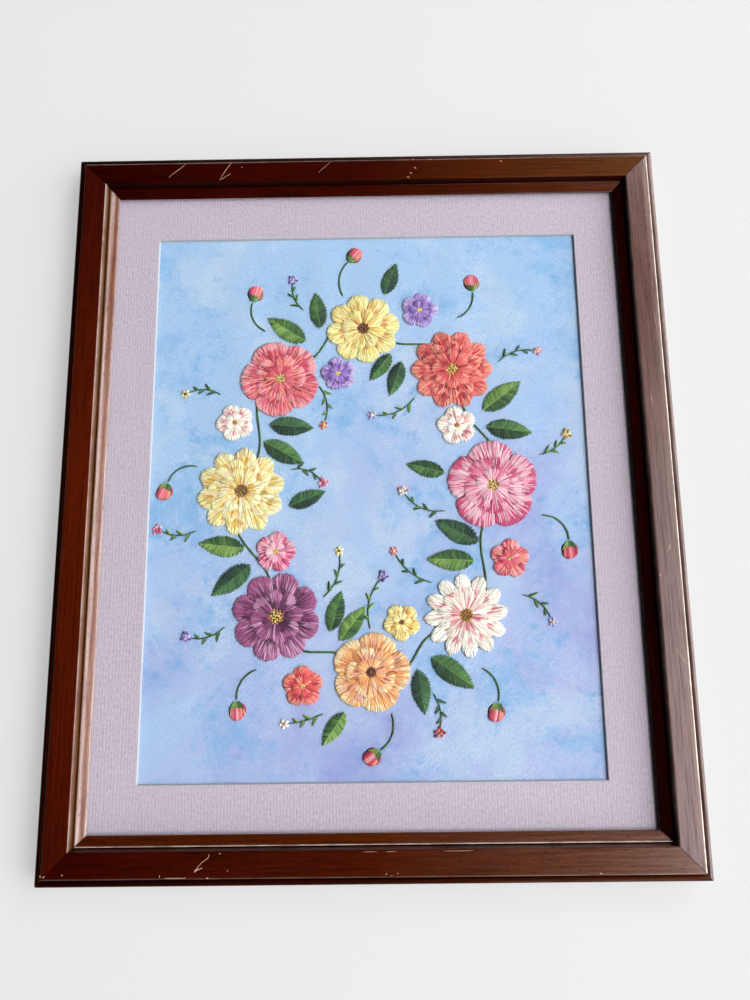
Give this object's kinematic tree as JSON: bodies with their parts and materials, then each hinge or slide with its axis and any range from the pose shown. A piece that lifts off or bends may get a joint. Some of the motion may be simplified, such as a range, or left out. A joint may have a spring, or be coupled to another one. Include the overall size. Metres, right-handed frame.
{
  "type": "framed embroidery in a wooden picture frame",
  "caption": "Raised floral embroidery on a stretched printed cloth, shown through a bevelled window mat under glass in a mitred stained-wood picture frame.",
  "frame": {"origin": "on the surface under the middle of the frame's back, which lies flat", "axes": "+Z out of the picture's face, +Y towards the picture's top, +X to its right as seen from the front"},
  "size_m": [0.4, 0.476, 0.0205],
  "materials": {
    "wood": "satin mahogany-stained lacquer, rubbed light along its arrises",
    "glass": "clear picture glass",
    "mat_board": "dusty pink ribbed paper on a cream board",
    "cloth": "fine twill cotton, printed with a soft blue to lilac wash",
    "hardboard": "plain brown board",
    "thread_butter": "stranded cotton in raised satin stitch",
    "thread_coral": "stranded cotton in raised satin stitch",
    "thread_pink": "stranded cotton in raised satin stitch",
    "thread_cream": "stranded cotton in raised satin stitch",
    "thread_peach": "stranded cotton in raised satin stitch",
    "thread_plum": "stranded cotton in raised satin stitch",
    "thread_lemon": "stranded cotton in raised satin stitch",
    "thread_rose": "stranded cotton in raised satin stitch",
    "thread_lilac": "stranded cotton in raised satin stitch",
    "thread_leaf_green": "stranded cotton in raised satin stitch",
    "thread_stem_green": "stranded cotton in raised satin stitch"
  },
  "bodies": {
    "root": {"rail_top": "wood", "rail_bottom": "wood", "rail_left": "wood", "rail_right": "wood", "glass": "glass", "mat": "mat_board", "cloth": "cloth", "backing_board": "hardboard", "bloom_1": "thread_butter", "bloom_2": "thread_coral", "bloom_3": "thread_pink", "bloom_4": "thread_cream", "bloom_5": "thread_peach", "bloom_6": "thread_plum", "bloom_7": "thread_lemon", "bloom_8": "thread_rose", "blossom_1": "thread_lilac", "blossom_2": "thread_cream", "blossom_3": "thread_rose", "blossom_4": "thread_butter", "blossom_5": "thread_coral", "blossom_6": "thread_pink", "blossom_7": "thread_cream", "blossom_8": "thread_lilac", "leaf_01": "thread_leaf_green", "leaf_02": "thread_leaf_green", "leaf_03": "thread_leaf_green", "leaf_04": "thread_leaf_green", "leaf_05": "thread_leaf_green", "leaf_06": "thread_leaf_green", "leaf_07": "thread_leaf_green", "leaf_08": "thread_leaf_green", "leaf_09": "thread_leaf_green", "leaf_10": "thread_leaf_green", "leaf_11": "thread_leaf_green", "leaf_12": "thread_leaf_green", "leaf_13": "thread_leaf_green", "leaf_14": "thread_leaf_green", "leaf_15": "thread_leaf_green", "leaf_16": "thread_leaf_green", "leaf_17": "thread_leaf_green", "leaf_18": "thread_leaf_green", "leaf_19": "thread_leaf_green", "leaf_20": "thread_leaf_green", "stem_1": "thread_stem_green", "stem_2": "thread_stem_green", "stem_3": "thread_stem_green", "stem_4": "thread_stem_green", "stem_5": "thread_stem_green", "stem_6": "thread_stem_green", "stem_7": "thread_stem_green", "stem_8": "thread_stem_green", "bud_1": "thread_rose", "bud_2": "thread_rose", "bud_3": "thread_rose", "bud_4": "thread_rose", "bud_5": "thread_rose", "bud_6": "thread_rose", "bud_7": "thread_rose", "bud_8": "thread_rose"}
  },
  "joints": []
}
